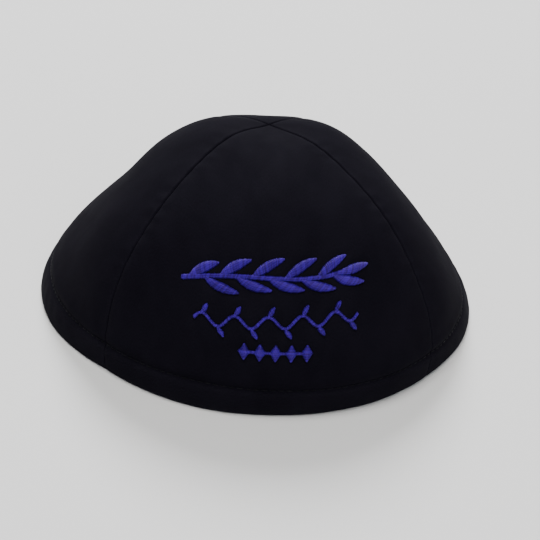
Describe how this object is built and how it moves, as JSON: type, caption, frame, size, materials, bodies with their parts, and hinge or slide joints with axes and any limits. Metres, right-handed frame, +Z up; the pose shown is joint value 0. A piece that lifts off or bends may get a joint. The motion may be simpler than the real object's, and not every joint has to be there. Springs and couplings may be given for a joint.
{
  "type": "kippah skullcap",
  "caption": "Soft dark skullcap sewn from curved cloth panels, with a stitched turned-in hem and a raised stitched ornament on its front.",
  "frame": {"origin": "on the surface that the cap rests on, under its crown point, at the middle of the rim", "axes": "+Z up, -Y towards the front panel with the ornament, +X towards the cap's right-hand side as seen from the front"},
  "size_m": [0.1754, 0.1714, 0.0754],
  "materials": {
    "dark_cloth": "near-black brushed suede-like cloth, matt with a faint cool sheen towards its edges",
    "blue_thread": "blue-violet satin-stitch thread with a soft lengthwise gloss"
  },
  "bodies": {
    "root": {"front_panel": "dark_cloth", "right_panel": "dark_cloth", "back_panel": "dark_cloth", "left_panel": "dark_cloth", "embroidered_sprig": "blue_thread", "embroidered_vine": "blue_thread", "embroidered_lozenges": "blue_thread"}
  },
  "joints": []
}
